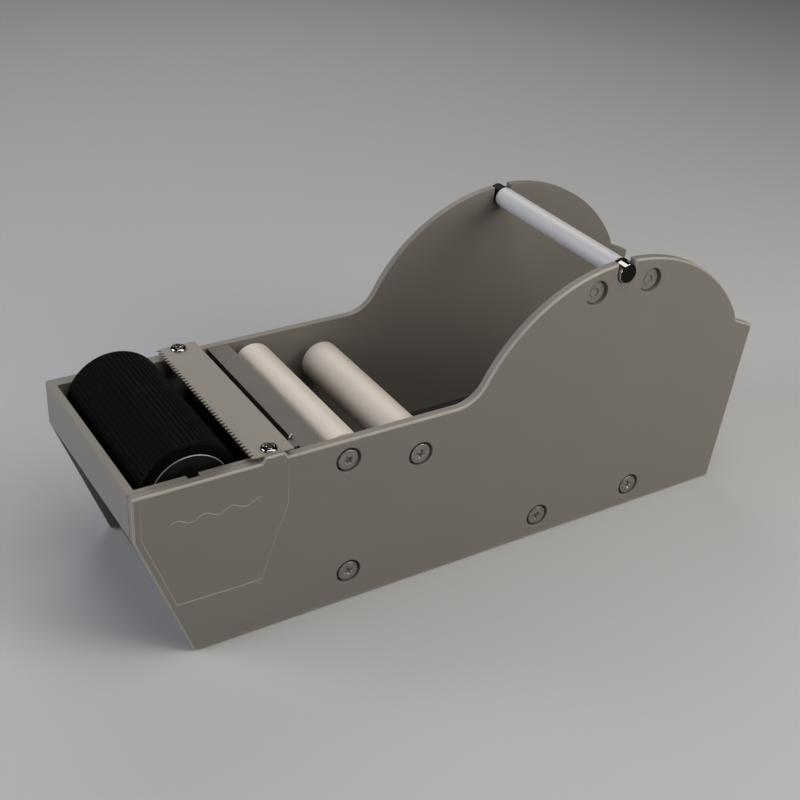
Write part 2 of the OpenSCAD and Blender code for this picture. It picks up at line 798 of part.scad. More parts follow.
module rubber_feet() {
    color("#1c1c1c") stand() for (p = foot_places)
        translate([p[0], p[1], -foot_t]) cylinder(d = foot_d, h = foot_t);
}

right_side_panel();
left_side_panel();
water_tank();
blade_bar();
tear_blade();
blade_screws();
guide_plate();
guard_wire();
roller_axle();
roller_rubber();
roller_core();
roller_end_caps();
front_guide_roller();
front_roller_bushes();
front_guide_axle();
rear_guide_roller();
rear_roller_bushes();
rear_guide_axle();
axle_spacers();
axle_washers();
spindle_rod();
spindle_end_caps();
spindle_sleeve();
side_screws();
blanking_plugs();
cross_bar();
ballast_block();
base_plate();
base_screws();
rear_wall();
rubber_feet();
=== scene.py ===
# Packing tape dispenser for gummed paper tape: the looks of its pieces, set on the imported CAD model.
# Bench coordinates are millimetres: x from the front face, y from the middle of the width, z from the
# bottom edge of the side panels. Each piece turns them into the row frame, in metres, when it is made.
import math

import bmesh
import bpy
import numpy as np
from mathutils import Matrix, Vector
from mathutils.geometry import delaunay_2d_cdt


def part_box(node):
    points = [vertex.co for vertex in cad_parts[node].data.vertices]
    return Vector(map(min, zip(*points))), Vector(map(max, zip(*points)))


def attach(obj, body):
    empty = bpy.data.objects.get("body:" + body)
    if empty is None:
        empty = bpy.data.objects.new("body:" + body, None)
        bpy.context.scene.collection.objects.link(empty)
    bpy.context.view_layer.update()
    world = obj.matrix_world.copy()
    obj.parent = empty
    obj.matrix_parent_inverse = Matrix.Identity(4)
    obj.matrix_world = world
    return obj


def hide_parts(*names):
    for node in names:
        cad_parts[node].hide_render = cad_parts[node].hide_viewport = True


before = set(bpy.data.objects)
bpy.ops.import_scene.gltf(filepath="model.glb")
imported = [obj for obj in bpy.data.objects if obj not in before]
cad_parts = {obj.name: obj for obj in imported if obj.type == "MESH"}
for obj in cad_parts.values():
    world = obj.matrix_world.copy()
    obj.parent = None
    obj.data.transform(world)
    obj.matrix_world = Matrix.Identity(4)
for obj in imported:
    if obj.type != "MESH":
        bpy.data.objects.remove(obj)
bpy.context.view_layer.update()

# Side panels: two plates of grey ABS, 5 mm thick, which carry all the other pieces between them.
# They are moulded, so every outer edge is softly rounded; the seats of the screws are counterbored,
# and the near panel has the shape of the water tank and a water line engraved in its outer face.
MM = 0.001
# The clearance of pieces that are pressed, tapped or run in each other, and how far a cutting prism
# stands out of what it cuts.
FIT = 0.05
OVERRUN = 1
panel_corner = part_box("right_side_panel")[0]
bench_origin = np.array([panel_corner.x, 0.0, panel_corner.z])


def bench_box(node_name):
    """Low and high corner of a CAD node, in bench millimetres."""
    corners = np.array([list(corner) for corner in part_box(node_name)])
    return (corners - bench_origin) / MM


def side_view_middle(node_name):
    """Bench x and z of the middle of a CAD node, which is the axis of one that lies across the body."""
    low, high = bench_box(node_name)
    return [(low[0] + high[0]) / 2, (low[2] + high[2]) / 2]


near_low, near_high = bench_box("right_side_panel")
bar_low, bar_high = bench_box("blade_bar")
tank_high = bench_box("water_tank")[1]
half_w = -near_low[1]
inner_half = -near_high[1]
panel_t = half_w - inner_half
heel_x = near_high[0]
rim_h = tank_high[2]
ear_x, bar_z, ear_top = bar_low[0], bar_low[2], bar_high[2]
toe_back, lip_h = 28, 77
base_l, heel_h = 376.5, 103.5
ear_l, ear_rise, ear_fall = 14.5, 2, 2
arch_x, arch_z, arch_r, arch_end_angle = 284.3, 65.3, 100.4, 30
step_drop, step_run = 5.7, 2.3
cove_r = 20
spindle_x, spindle_z = side_view_middle("spindle_rod")
journal_r = 5.55
slot_r = journal_r + 2 * FIT
corner_r, ear_corner_r = 1.2, 0.8
outer_edge_r, inner_edge_r = 1.1, 0.4


def rounded(corners, radii, closed=True, count=6):
    """A path with rounded corners. The circle of a corner touches both of its edges: it stands
    radius / sin(half the angle) from the corner, on the line that halves the angle."""
    corners = np.asarray(corners, float)
    last = len(corners) - 1
    path = []
    for i, (corner, radius) in enumerate(zip(corners, np.broadcast_to(radii, len(corners)))):
        if radius == 0 or (not closed and i in (0, last)):
            path.append(corner[None])
            continue
        to_last = corners[i - 1] - corner
        to_next = corners[(i + 1) % len(corners)] - corner
        to_last, to_next = to_last / np.linalg.norm(to_last), to_next / np.linalg.norm(to_next)
        half = math.acos(np.clip(to_last @ to_next, -1, 1)) / 2
        middle = (to_last + to_next) / np.linalg.norm(to_last + to_next)
        centre = corner + middle * radius / math.sin(half)
        start, end = (corner + way * radius / math.tan(half) - centre for way in (to_last, to_next))
        turn = math.atan2(start[0] * end[1] - start[1] * end[0], start @ end)
        angles = math.atan2(start[1], start[0]) + np.linspace(0, turn, count)
        path.append(centre + radius * np.column_stack([np.cos(angles), np.sin(angles)]))
    return np.vstack(path)


def arc(centre, radius, start, end, step=1.0):
    """Points of a circle from one angle to another, in degrees, about a step apart."""
    count = max(3, int(abs(math.radians(end - start)) * radius / step) + 1)
    angles = np.radians(np.linspace(start, end, count))
    return np.column_stack([centre[0] + radius * np.cos(angles), centre[1] + radius * np.sin(angles)])


def panel_outline():
    """The side profile, anticlockwise from the toe: straight edges with rounded corners, the arch with
    its open slot, and the hollow curve that touches both the arch and the rim."""
    cove_z = rim_h + cove_r
    cove_x = arch_x - math.sqrt((arch_r + cove_r) ** 2 - (cove_z - arch_z) ** 2)
    meet = math.degrees(math.atan2(cove_z - arch_z, cove_x - arch_x))
    end_x = arch_x + arch_r * math.cos(math.radians(arch_end_angle))
    end_z = arch_z + arch_r * math.sin(math.radians(arch_end_angle))
    slot_angles = [math.degrees(math.acos((spindle_x + s * slot_r - arch_x) / arch_r)) for s in (1, -1)]
    tail = rounded([[0, lip_h], [toe_back, 0], [base_l, 0], [heel_x, heel_h],
                    [end_x + step_run, end_z - step_drop], [end_x, end_z]],
                   [0, corner_r, corner_r, corner_r, ear_corner_r, 0], closed=False)[1:-1]
    front = rounded([[cove_x, rim_h], [ear_x + ear_l, rim_h], [ear_x + ear_l - ear_fall, ear_top],
                     [ear_x + ear_rise, ear_top], [ear_x, rim_h], [0, rim_h], [0, lip_h], [toe_back, 0]],
                    [0, ear_corner_r / 2, ear_corner_r / 2, ear_corner_r, ear_corner_r, corner_r,
                     corner_r, 0], closed=False)[1:-1]
    return np.vstack([
        tail,
        arc([arch_x, arch_z], arch_r, arch_end_angle, slot_angles[0]),
        arc([spindle_x, spindle_z], slot_r, 0, -180, 0.5),
        arc([arch_x, arch_z], arch_r, slot_angles[1], meet),
        arc([cove_x, cove_z], cove_r, meet - 180, -90)[1:],
        front,
    ])


def inset(outline, by):
    """A closed outline moved inwards: each point slides along the mitre of its two edges' normals."""
    ahead = np.roll(outline, -1, 0) - outline
    ahead /= np.linalg.norm(ahead, axis=1)[:, None]
    normal = np.column_stack([-ahead[:, 1], ahead[:, 0]])
    before = np.roll(normal, 1, 0)
    return outline + by * (normal + before) / (1 + (normal * before).sum(1))[:, None]


def quarter_round(radius, count=5):
    """How far an edge of that radius stands back and how deep it lies, from its flat side to its
    wall: radius * (1 - sin a) and radius * (1 - cos a), a from 0 to 90 degrees."""
    angles = np.radians(np.linspace(0, 90, count))
    return np.column_stack([radius * (1 - np.sin(angles)), radius * (1 - np.cos(angles))])


def grid_faces(rows, columns):
    """Four-cornered faces between neighbouring rows of a grid that closes round its columns, its
    points stored row by row."""
    r, c = np.meshgrid(np.arange(rows - 1), np.arange(columns), indexing="ij")
    n = (c + 1) % columns
    return np.stack([r * columns + c, r * columns + n, (r + 1) * columns + n, (r + 1) * columns + c],
                    -1).reshape(-1, 4)


def loop_wall(loops):
    """A wall through closed loops of equally many points."""
    return np.vstack(loops), grid_faces(len(loops), len(loops[0]))


def inside_loops(points, loops):
    """True where a point lies inside an odd number of loops: a level ray from it crosses their
    edges an odd number of times."""
    start = np.vstack(loops)
    end = np.vstack([np.roll(loop, -1, 0) for loop in loops])
    x, z = points[:, :1], points[:, 1:]
    spans = (start[:, 1] > z) != (end[:, 1] > z)
    rise = np.where(end[:, 1] == start[:, 1], 1, end[:, 1] - start[:, 1])
    crossing = start[:, 0] + (z - start[:, 1]) / rise * (end[:, 0] - start[:, 0])
    return (spans & (x < crossing)).sum(1) % 2 == 1


def flat_face(loops, y, grooves=(), into=1):
    """Triangles inside the first loop and outside the others, at one y. A groove is a line whose
    points sink to its depth while its two edges, half its width away, stay at the surface."""
    points, depths, edges = [], [], []

    def draw(line, depth, closed):
        first = sum(len(p) for p in points)
        index = np.arange(len(line)) + first
        edges.extend(np.column_stack([index, np.roll(index, -1)])[: None if closed else -1].tolist())
        points.append(line)
        depths.append(np.broadcast_to(depth, len(line)))

    for loop in loops:
        draw(loop, 0, True)
    for line, width, depth in grooves:
        tangent = np.gradient(line, axis=0)
        normal = np.column_stack([-tangent[:, 1], tangent[:, 0]]) / np.linalg.norm(tangent, axis=1)[:, None]
        taper = np.ones(len(line))
        taper[[0, -1]] = 0
        for side in (-1, 1):
            draw(line + side * normal * (taper * width / 2)[:, None], 0, False)
        draw(line, taper * depth, False)
    made = delaunay_2d_cdt([Vector(p) for p in np.vstack(points)], edges, [], 0, 1e-7)
    spots = np.array([list(p) for p in made[0]])
    sunk = np.array([max(np.concatenate(depths)[list(sources)], default=0) for sources in made[3]])
    triangles = np.array([list(f) for f in made[2]])
    triangles = triangles[inside_loops(spots[triangles].mean(1), loops)]
    return np.column_stack([spots[:, 0], y + into * sunk, spots[:, 1]]), triangles, sunk


def lifted(loop, y):
    """A loop of the side profile as points in space, at one y."""
    return np.column_stack([loop[:, 0], np.full(len(loop), y), loop[:, 1]])


def circle(centre, radius, count=64):
    """A full circle, its last point one step short of its first."""
    return arc(centre, radius, 0, 360 * (1 - 1 / count), 2 * math.pi * radius / count)[:count]


def linear(hex_colour):
    """Linear colour of an sRGB hex value: ((c + 0.055) / 1.055) to the power 2.4, c / 12.92 if dark."""
    c = np.array([int(hex_colour[i:i + 2], 16) / 255 for i in (1, 3, 5)])
    return (*np.where(c <= 0.04045, c / 12.92, ((c + 0.055) / 1.055) ** 2.4), 1.0)


def node(tree, kind, inputs=(), **settings):
    """Adds a shader node with its settings, and fills or links its inputs, given by name or number."""
    made = tree.nodes.new("ShaderNode" + kind)
    for name, value in settings.items():
        setattr(made, name, value)
    for name, value in dict(inputs).items():
        if isinstance(value, bpy.types.NodeSocket):
            tree.links.new(value, made.inputs[name])
        else:
            made.inputs[name].default_value = value
    return made


def new_material(name, colour, roughness, metallic=0.0, **sockets):
    """A material, its node tree and its shader, with the values that are the same all over."""
    material = bpy.data.materials.new(name)
    material.use_nodes = True
    shader = material.node_tree.nodes["Principled BSDF"]
    shader.inputs["Base Color"].default_value = linear(colour)
    shader.inputs["Roughness"].default_value = roughness
    shader.inputs["Metallic"].default_value = metallic
    for socket, value in sockets.items():
        shader.inputs[socket.replace("_", " ")].default_value = value
    return material, material.node_tree, shader


def moulded(name, dark, light, mottle_mm, grain_mm, grain_depth_mm, roughness, **sockets):
    """Moulded or turned plastic: two close colours mixed by a slow noise, which moves the roughness
    too, and a fine noise as grain. A noise of scale 1 / size has bumps about that size apart."""
    material, tree, shader = new_material(name, dark, roughness, **sockets)
    place = node(tree, "TexCoord").outputs["Object"]
    slow = node(tree, "TexNoise", {"Vector": place, "Scale": 1 / (mottle_mm * MM), "Detail": 3.0})
    tint = node(tree, "Mix", {0: slow.outputs["Fac"], 6: linear(dark), 7: linear(light)},
                data_type="RGBA")
    tree.links.new(tint.outputs[2], shader.inputs["Base Color"])
    grain = node(tree, "TexNoise", {"Vector": place, "Scale": 1 / (grain_mm * MM), "Detail": 2.0})
    polish = node(tree, "MapRange", {"Value": slow.outputs["Fac"], "From Min": 0.3, "From Max": 0.7,
                                     "To Min": roughness - 0.04, "To Max": roughness + 0.05})
    tree.links.new(polish.outputs["Result"], shader.inputs["Roughness"])
    bump = node(tree, "Bump", {"Height": grain.outputs["Fac"], "Strength": 0.5,
                               "Distance": grain_depth_mm * MM})
    tree.links.new(bump.outputs["Normal"], shader.inputs["Normal"])
    return material


# ABS from a finely eroded mould: satin, warm grey, an even tone with slow, faint clouds. The real
# grain is 0.1 mm apart; it is drawn at 0.6 mm so that it shows.
body_abs = moulded("moulded_abs_warm_grey", "#77746e", "#7e7b75", 60, 0.6, 0.02, 0.5)
# The same plastic, paler and more polished, on the rounded outer edges of the panels: a painted highlight.
edge_highlight_abs = moulded("abs_painted_edge_highlight", "#9a968f", "#a6a29b", 25, 0.5, 0.015, 0.38)
# And where the engraving cutter has left it matt and paler.
engraved_abs = moulded("engraved_abs_pale_cut", "#a19d95", "#aaa69e", 20, 0.4, 0.02, 0.75)


def dress(thing, materials, body, replaces, sharp=35):
    """Links an object with its materials, smooths it, and puts it on its body in place of its node."""
    bpy.context.scene.collection.objects.link(thing)
    for material in materials if isinstance(materials, list) else [materials]:
        thing.data.materials.append(material)
    thing.data.shade_smooth()
    thing.data.set_sharp_from_angle(angle=math.radians(sharp))
    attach(thing, body)
    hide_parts(replaces)
    return thing


def piece(name, parts, materials, body, replaces, sharp=35):
    """A mesh piece made of parts, each some points in bench millimetres, its faces and, where it has
    more than one material, their numbers. Parts are welded where their points meet, and edges that
    turn more than the sharp angle stay sharp."""
    points, faces, groups, first = [], [], [], 0
    for part in parts:
        points.append(part[0])
        faces.extend((np.asarray(part[1]) + first).tolist())
        groups.append(part[2] if len(part) > 2 else np.zeros(len(part[1]), int))
        first += len(part[0])
    mesh = bpy.data.meshes.new(name)
    mesh.from_pydata((np.vstack(points) * MM + bench_origin).tolist(), [], faces)
    mesh.polygons.foreach_set("material_index", np.concatenate(groups).astype(np.int32))
    work = bmesh.new()
    work.from_mesh(mesh)
    bmesh.ops.remove_doubles(work, verts=work.verts, dist=0.002 * MM)
    bmesh.ops.recalc_face_normals(work, faces=work.faces)
    work.to_mesh(mesh)
    work.free()
    return dress(bpy.data.objects.new(name, mesh), materials, body, replaces, sharp)


def even_normals(thing):
    """Large faces keep their own direction and the rounded edges take up the turn."""
    modifier = thing.modifiers.new("even_normals", "WEIGHTED_NORMAL")
    modifier.keep_sharp = True
    return thing


def carve(thing, prisms, operation="DIFFERENCE"):
    """Cuts prisms out of a piece, or joins them to it, with an exact Boolean, and keeps the result as
    the piece's mesh. A prism is a closed line of the side view, drawn from one y to another."""
    work = bmesh.new()
    for line, start, end in prisms:
        rings = []
        for y in (start, end):
            corners = lifted(np.array(line, float), y) * MM + bench_origin
            rings.append([work.verts.new(corner) for corner in corners])
            work.faces.new(rings[-1])
        for i in range(len(line)):
            work.faces.new([rings[0][i - 1], rings[0][i], rings[1][i], rings[1][i - 1]])
    bmesh.ops.recalc_face_normals(work, faces=work.faces)
    tool = bpy.data.objects.new("cutter", bpy.data.meshes.new("cutter"))
    work.to_mesh(tool.data)
    work.free()
    bpy.context.scene.collection.objects.link(tool)
    modifier = thing.modifiers.new("prisms", "BOOLEAN")
    modifier.solver, modifier.operation, modifier.object = "EXACT", operation, tool
    shaped = bpy.data.meshes.new_from_object(thing.evaluated_get(bpy.context.evaluated_depsgraph_get()))
    thing.modifiers.clear()
    thing.data = shaped
    bpy.data.objects.remove(tool)
    return thing


def rectangle(x0, z0, x1, z1):
    """Corners of a rectangle of the side view."""
    return [[x0, z0], [x1, z0], [x1, z1], [x0, z1]]


# The screws sit where the pieces are that they hold, and the plugs beside the spindle.
front_guide_at, rear_guide_at = side_view_middle("front_guide_roller"), side_view_middle("rear_guide_roller")
ballast_x, ballast_z = side_view_middle("ballast_block")
ballast_pitch = 68
side_screw_places = [front_guide_at, rear_guide_at, side_view_middle("cross_bar"),
                     [ballast_x - ballast_pitch / 2, ballast_z], [ballast_x + ballast_pitch / 2, ballast_z]]
plug_low, plug_high = bench_box("blanking_plugs")
plug_z, plug_head_r = (plug_low[2] + plug_high[2]) / 2, (plug_high[2] - plug_low[2]) / 2
plug_places = [[plug_low[0] + plug_head_r, plug_z], [plug_high[0] - plug_head_r, plug_z]]
seat_edge_r = 0.35
seat_r, seat_depth, seat_hole_r, seat_floor_edge = 7.1, 3.7, 2.7, 0.3
plug_seat_r, plug_seat_depth, plug_hole_r, plug_floor_edge = 7.2, 2.0, 2.35, 0.1
# A groove runs round the floor of each plug's recess.
groove_w, groove_depth = 0.9, 3.4
plug_floor_r = plug_seat_r - groove_w
seat_wall = [(seat_r, seat_depth - seat_floor_edge), (seat_r - seat_floor_edge, seat_depth),
             (seat_hole_r, seat_depth), (seat_hole_r, panel_t)]
plug_seat_wall = [(plug_seat_r, groove_depth), (plug_floor_r, groove_depth), (plug_floor_r, plug_seat_depth),
                  (plug_floor_r - plug_floor_edge, plug_seat_depth), (plug_hole_r, plug_seat_depth),
                  (plug_hole_r, panel_t)]

# The engraving: the side view of the tank, and a water line as a cosine wave.
tank_lines = rounded([[4.3, 101], [4, 77.8], [20.3, 32.9], [66, 32.2], [76.7, 65], [80.6, 74],
                      [80.2, 102.5]], [0, 3, 2, 2, 12, 12, 0], closed=False)
wave_from, wave_to, wave_z, wave_h, wave_l, wave_crest = 17, 66, 81.8, 1.4, 14.4, 21.5
wave_x = np.linspace(wave_from, wave_to, 60)
wave_angle = 2 * math.pi * (wave_x - wave_crest) / wave_l
water_line = np.column_stack([wave_x, wave_z + wave_h * np.cos(wave_angle)])
engraving = [(tank_lines, 0.7, 0.35), (water_line, 0.6, 0.3)]


def side_panel(side, grooves):
    """A panel between its outer and inner face: the outline goes round the two rounded edges, and
    every screw seat is a wall of circles from the outer face down to the floor and through the hole."""
    outline = panel_outline()
    outer, inner = quarter_round(outer_edge_r), quarter_round(inner_edge_r, 3)
    points, faces = loop_wall([lifted(inset(outline, back), side * (half_w - deep)) for back, deep in outer]
                              + [lifted(inset(outline, back), side * (inner_half + deep))
                                 for back, deep in inner[::-1]])
    # The faces of the outer rounded edge take the painted highlight.
    edge_highlight_band = np.arange(len(faces)) < (len(outer) - 1) * len(outline)
    parts = [(points, faces, 2 * edge_highlight_band.astype(int))]
    outer_loops, inner_loops = [inset(outline, outer_edge_r)], [inset(outline, inner_edge_r)]
    bores = [(place, seat_r, seat_wall) for place in side_screw_places]
    bores += [(place, plug_seat_r, plug_seat_wall) for place in plug_places]
    for place, radius, wall in bores:
        rings = [(radius + back, deep) for back, deep in quarter_round(seat_edge_r)] + wall
        parts.append(loop_wall([lifted(circle(place, r), side * (half_w - deep)) for r, deep in rings]))
        outer_loops.append(circle(place, rings[0][0]))
        inner_loops.append(circle(place, rings[-1][0]))
    points, triangles, sunk = flat_face(outer_loops, side * half_w, grooves, -side)
    parts.append((points, triangles, (sunk[triangles].max(1) > 0).astype(int)))
    parts.append(flat_face(inner_loops, side * inner_half)[:2])
    return parts


guide_high = bench_box("guide_plate")[1]
guide_l, guide_t = 12.3, 3
guide_z = guide_high[2] - guide_t
pocket_depth, tab_depth, tab_t = 2.5, 1.55, 1.85
pockets = [(rectangle(ear_x - FIT, bar_z, bar_high[0] + FIT, ear_top + OVERRUN), pocket_depth),
           (rectangle(guide_high[0] - guide_l, guide_z, guide_high[0], guide_z + tab_t), tab_depth)]
for label, side, grooves in [("right", -1, engraving), ("left", 1, ())]:
    panel = piece(f"{label}_panel_moulded", side_panel(side, grooves), [body_abs, engraved_abs, edge_highlight_abs],
                  "frame", f"{label}_side_panel")
    even_normals(carve(panel, [(line, side * (inner_half - OVERRUN), side * (inner_half + depth))
                               for line, depth in pockets]))

# Base: a bottom plate, a cross bar and a rear wall of the same plastic, and a cast iron block that
# keeps the dispenser on the counter. Four countersunk screws hold the plate, and it stands on four
# rubber pads.


def cad_copy(node_name, name, materials, body):
    """A copy of a CAD node with its loose triangles merged and its flat faces joined."""
    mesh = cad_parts[node_name].data.copy()
    mesh.materials.clear()
    work = bmesh.new()
    work.from_mesh(mesh)
    bmesh.ops.remove_doubles(work, verts=work.verts, dist=0.001 * MM)
    bmesh.ops.dissolve_limit(work, angle_limit=math.radians(0.5), verts=work.verts, edges=work.edges)
    work.to_mesh(mesh)
    work.free()
    mesh.name = name
    return dress(bpy.data.objects.new(name, mesh), materials, body, node_name)


def round_edges(thing, edge, segments=2):
    """Rounds a piece's edges with the Bevel modifier."""
    modifier = thing.modifiers.new("rounded_edges", "BEVEL")
    modifier.width, modifier.segments = edge * MM, segments
    modifier.limit_method, modifier.angle_limit = "ANGLE", math.radians(30)
    modifier.miter_outer = "MITER_ARC"
    return even_normals(thing)


# The same ABS made a little darker for the pieces inside the body: painted shade.
shaded_inner_abs = moulded("moulded_abs_painted_shade", "#605c56", "#67635d", 60, 0.6, 0.03, 0.6)
# Cast iron, fettled and dipped in black paint: grainy from the sand, about 0.8 mm.
cast_iron, iron_tree, iron_shader = new_material("painted_cast_iron", "#303032", 0.55)
iron_place = node(iron_tree, "TexCoord").outputs["Object"]
sand = node(iron_tree, "TexNoise", {"Vector": iron_place, "Scale": 1 / (0.8 * MM), "Detail": 4.0})
iron_bump = node(iron_tree, "Bump", {"Height": sand.outputs["Fac"], "Strength": 0.8, "Distance": 0.1 * MM})
iron_tree.links.new(iron_bump.outputs["Normal"], iron_shader.inputs["Normal"])

round_edges(cad_copy("base_plate", "base_plate_moulded", shaded_inner_abs, "frame"), 0.4)
round_edges(cad_copy("cross_bar", "cross_bar_moulded", shaded_inner_abs, "frame"), 0.5)
round_edges(cad_copy("rear_wall", "rear_wall_moulded", body_abs, "frame"), 0.5)
round_edges(cad_copy("ballast_block", "ballast_casting", cast_iron, "frame"), 1.5, 3)


def ring_about(axis, sides):
    """The angles of evenly spaced directions round an axis, and the directions: cos a * one side
    direction + sin a * the other, a all the way round."""
    first = np.cross(axis, [0, 0, 1] if abs(axis[2]) < 0.9 else [1, 0, 0]).astype(float)
    first /= np.linalg.norm(first)
    angles = np.arange(sides) * 2 * math.pi / sides
    return angles, np.cos(angles)[:, None] * first + np.sin(angles)[:, None] * np.cross(axis, first)


def turned(profile, origin, axis, sides=96):
    """A profile of (radius, way along the axis) turned round it: origin + way * axis + radius *
    each direction round the axis."""
    ring = ring_about(axis, sides)[1]
    points = [np.array(origin, float) + way * np.array(axis) + radius * ring for radius, way in profile]
    return np.vstack(points), grid_faces(len(profile), sides)


# Rubber pads, punched from sheet: matt black, faintly grainy.
pad_rubber = moulded("sheet_rubber_matt", "#161616", "#1d1d1d", 10, 0.5, 0.03, 0.8)
foot_low, foot_high = bench_box("rubber_feet")
foot_r, foot_t = 7, foot_high[2] - foot_low[2]
foot_profile = rounded([[0, 0], [foot_r, 0], [foot_r, -foot_t], [0, -foot_t]], [0, 0.2, 0.3, 0],
                       closed=False)
foot_parts = [turned(foot_profile, [x, y, 0], [0, 0, 1], 48)
              for x in (foot_low[0] + foot_r, foot_high[0] - foot_r)
              for y in (foot_low[1] + foot_r, foot_high[1] - foot_r)]
piece("foot_pads", foot_parts, pad_rubber, "frame", "rubber_feet")


def cross_depth(u, v, arm, reach, depth, slope):
    """Depth of a cross recess at (u, v): full in two crossing arms that reach from the middle,
    falling off over the slope at their sides and ends, and deepest in the middle."""
    across, along = np.minimum(abs(u), abs(v)), np.maximum(abs(u), abs(v))
    sides = np.clip((arm / 2 + slope - across) / slope, 0, 1)
    ends = np.clip((reach - along) / (2 * slope), 0, 1)
    return depth * sides * ends * (1 - 0.45 * np.clip(along / reach, 0, 1))


def screw(origin, axis, head_r, head_h, dome, edge, shank_r, length, cross, turn=0.0, cone=0.0, sides=96):
    """A screw about its axis from the tip of its shank to its head, whose underside rises to the cone
    height at its rim. The top of the head is the height head_h + dome * (1 - (r / its radius) squared)
    less the cross recess, on a round grid. The last of its three arrays marks the recess's faces."""
    tip, step, shade = 0.3, 0.12, 0.15
    angles, ring = ring_about(axis, sides)
    under = [(0, -length), (shank_r - tip, -length), (shank_r, tip - length), (shank_r, 0), (head_r, cone)]
    rim = [(head_r - back, head_h - deep) for back, deep in quarter_round(edge)[::-1]]
    crown_r = np.append(np.arange(head_r - edge - step, step / 2, -step), 0)
    crown_h = head_h + dome * (1 - (crown_r / (head_r - edge)) ** 2)
    radii, heights = np.vstack([under + rim, np.column_stack([crown_r, crown_h])]).T[:, :, None]
    recess = cross_depth(radii * np.cos(angles + turn), radii * np.sin(angles + turn), *cross)
    recess[:-len(crown_r)] = 0
    points = np.array(origin, float) + (heights - recess)[..., None] * axis + radii[..., None] * ring
    faces = grid_faces(len(radii), sides)
    return points.reshape(-1, 3), faces, (recess.ravel()[faces].max(1) > shade).astype(int)


# Dull nickel plating on steel: soft grey, with stains about 1 mm apart.
nickel, nickel_tree, nickel_shader = new_material("dull_nickel_plated_steel", "#807b74", 0.42, 1.0)
stain = node(nickel_tree, "TexNoise", {"Vector": node(nickel_tree, "TexCoord").outputs["Object"],
                                       "Scale": 1 / (1.0 * MM), "Detail": 6.0})
nickel_tint = node(nickel_tree, "Mix", {0: stain.outputs["Fac"], 6: linear("#57524c"), 7: linear("#c4beb6")},
                   data_type="RGBA")
nickel_tree.links.new(nickel_tint.outputs[2], nickel_shader.inputs["Base Color"])
base_screw_low, base_screw_high = bench_box("base_screws")
base_head_r, base_head_h, base_edge, base_rim_t, base_shank_r = 4.5, 2, 0.1, 0.15, 2.5
base_cross = (0.9, 2.4, 1.2, 0.3)
base_screw_parts = [screw([x, y, base_head_h], [0, 0, -1], base_head_r, base_head_h, 0, base_edge,
                          base_shank_r, base_screw_high[2] - base_head_h, base_cross,
                          cone=base_head_h - base_rim_t)[:2]
                    for x in (base_screw_low[0] + base_head_r, base_screw_high[0] - base_head_r)
                    for y in (base_screw_low[1] + base_head_r, base_screw_high[1] - base_head_r)]
piece("base_screws_countersunk", base_screw_parts, nickel, "frame", "base_screws")

# Water tank: a moulded trough with its front wall, slanted wall, floor, rear wall and two side walls,
# which have the open notches for the axle of the water roller. The slanted wall stands back behind
# the slanted edges of the panels and ends at the floor; below it the front is open.
tank = cad_copy("water_tank", "water_tank_moulded", body_abs, "frame")
tank_wall, tank_floor_z, set_back = 2.6, 32.5, 4.26
front_wall_t, wall_lap, fill_h = 4, 1, 8
under_z = tank_floor_z - tank_wall
ledge_front = [set_back, lip_h]
under_front = [toe_back * (1 - under_z / lip_h) + set_back, under_z]
front_recess = [[-OVERRUN, lip_h], ledge_front, under_front, [tank_high[0], under_z],
                [tank_high[0], -OVERRUN], [-OVERRUN, -OVERRUN]]
carve(tank, [(front_recess, -inner_half - OVERRUN, inner_half + OVERRUN)])
wall_run = tank_wall / math.cos(math.atan(toe_back / lip_h))
inner_x = set_back + wall_run
slanted_wall = [[front_wall_t - wall_lap, lip_h], ledge_front, under_front,
                [under_front[0] + wall_run, under_z], [inner_x, lip_h],
                [front_wall_t, lip_h * (1 + (inner_x - front_wall_t) / toe_back)],
                [front_wall_t - wall_lap, lip_h + fill_h]]
carve(tank, [(slanted_wall, -inner_half, inner_half)], "UNION")
round_edges(tank, 0.3)

# Cutter: a bar of ABS across the body, and on it the blade, a strip of stainless sheet with stamped
# teeth, held by two screws with pan heads.
round_edges(cad_copy("blade_bar", "blade_bar_moulded", body_abs, "frame"), 0.3)

# Stainless sheet with the matt finish of the rolls: grey and dull, with smudges a few centimetres
# wide and short rolling lines, drawn 6 mm long and 0.35 mm apart so that they show.
blade_steel, steel_tree, steel_shader = new_material("rolled_stainless_sheet", "#948f88", 0.55, 0.5)
steel_place = node(steel_tree, "TexCoord").outputs["Object"]
smudge = node(steel_tree, "TexNoise", {"Vector": steel_place, "Scale": 1 / (30 * MM), "Detail": 5.0})
steel_tint = node(steel_tree, "Mix", {0: smudge.outputs["Fac"], 6: linear("#8b8781"), 7: linear("#95918b")},
                  data_type="RGBA")
steel_tree.links.new(steel_tint.outputs[2], steel_shader.inputs["Base Color"])
rolled = node(steel_tree, "Mapping", {"Vector": steel_place,
                                      "Scale": (1 / (6 * MM), 1 / (0.35 * MM), 1 / (0.35 * MM))})
lines = node(steel_tree, "TexNoise", {"Vector": rolled.outputs["Vector"], "Scale": 1.0, "Detail": 2.0})
steel_polish = node(steel_tree, "MapRange", {"Value": smudge.outputs["Fac"], "From Min": 0.3,
                                             "From Max": 0.7, "To Min": 0.52, "To Max": 0.58})
steel_tree.links.new(steel_polish.outputs["Result"], steel_shader.inputs["Roughness"])
steel_bump = node(steel_tree, "Bump", {"Height": lines.outputs["Fac"], "Strength": 0.25,
                                       "Distance": 0.01 * MM})
steel_tree.links.new(steel_bump.outputs["Normal"], steel_shader.inputs["Normal"])
round_edges(cad_copy("tear_blade", "tear_blade_stamped", blade_steel, "frame"), 0.1, 1)
